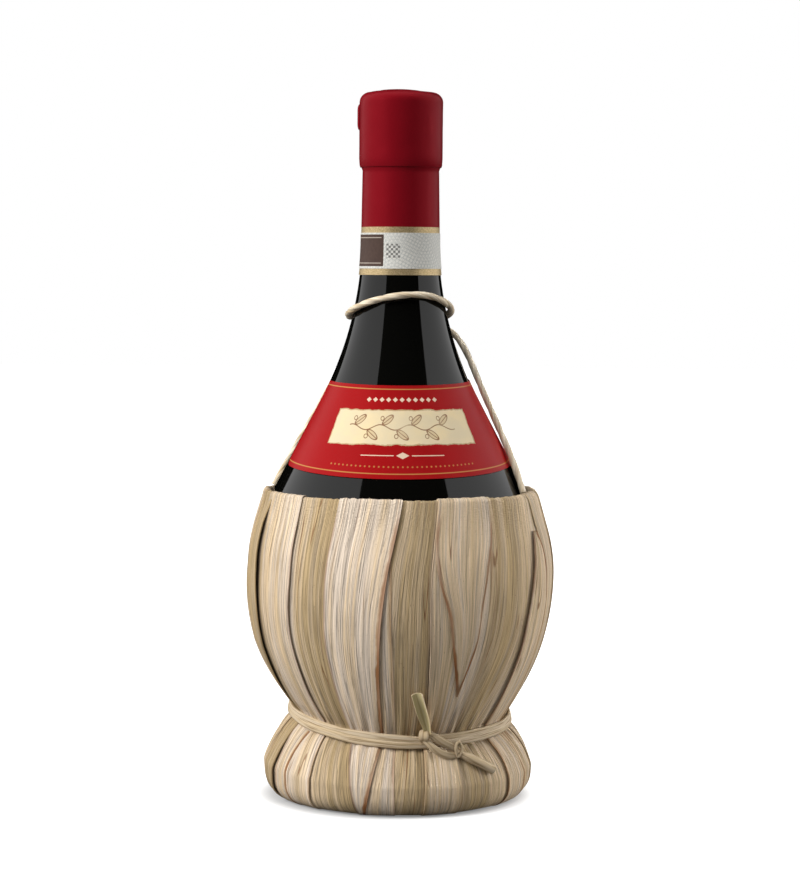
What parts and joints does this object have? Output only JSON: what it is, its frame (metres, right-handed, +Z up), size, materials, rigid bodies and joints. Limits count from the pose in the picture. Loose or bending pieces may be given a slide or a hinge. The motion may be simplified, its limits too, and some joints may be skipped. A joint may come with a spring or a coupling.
{
  "type": "straw-covered wine flask",
  "caption": "Round-bottomed dark glass wine flask with a slim neck, cork and red capsule, standing in a covering of dried leaf strips tied at the waist over a straw foot ring.",
  "frame": {"origin": "centre of the foot ring's flat face, on the surface the flask stands on", "axes": "+Z up along the flask's axis, -Y the front with the label, +X to the viewer's right"},
  "size_m": [0.1128, 0.1126, 0.2604],
  "materials": {
    "dark_glass": "glossy, so dark that it looks black",
    "cork": "matt, with pores",
    "red_film": "satin",
    "seal_paper": "matt, finely printed",
    "label_paper": "coated paper",
    "twisted_leaf": "dry leaf, twisted",
    "straw": "dry straw",
    "tie_leaf": "dry leaf",
    "dried_leaf": "dry leaf, fibrous"
  },
  "bodies": {
    "flask": {"glass_flask": "dark_glass", "capsule_skirt": "red_film", "seal_strip": "seal_paper", "shoulder_label": "label_paper", "neck_cord": "twisted_leaf", "rim_binding_cord": "twisted_leaf", "straw_foot_ring": "straw", "waist_tie": "tie_leaf", "leaf_01": "dried_leaf", "leaf_02": "dried_leaf", "leaf_03": "dried_leaf", "leaf_04": "dried_leaf", "leaf_05": "dried_leaf", "leaf_06": "dried_leaf", "leaf_07": "dried_leaf", "leaf_08": "dried_leaf", "leaf_09": "dried_leaf", "leaf_10": "dried_leaf", "leaf_11": "dried_leaf", "leaf_12": "dried_leaf", "leaf_13": "dried_leaf", "leaf_14": "dried_leaf", "leaf_15": "dried_leaf", "leaf_16": "dried_leaf", "leaf_17": "dried_leaf", "leaf_18": "dried_leaf", "leaf_19": "dried_leaf", "leaf_20": "dried_leaf"},
    "cork": {"cork_stopper": "cork"},
    "capsule_top": {"capsule_cap": "red_film", "capsule_top_disc": "red_film", "capsule_tear_tab": "red_film"}
  },
  "joints": [
    {"name": "cork_pull", "type": "slide", "parent": "flask", "child": "cork", "axis": [0, 0, 1], "range_m": [0, 0.05]},
    {"name": "cap_lift", "type": "slide", "parent": "cork", "child": "capsule_top", "axis": [0, 0, 1], "range_m": [0, 0.06]}
  ]
}
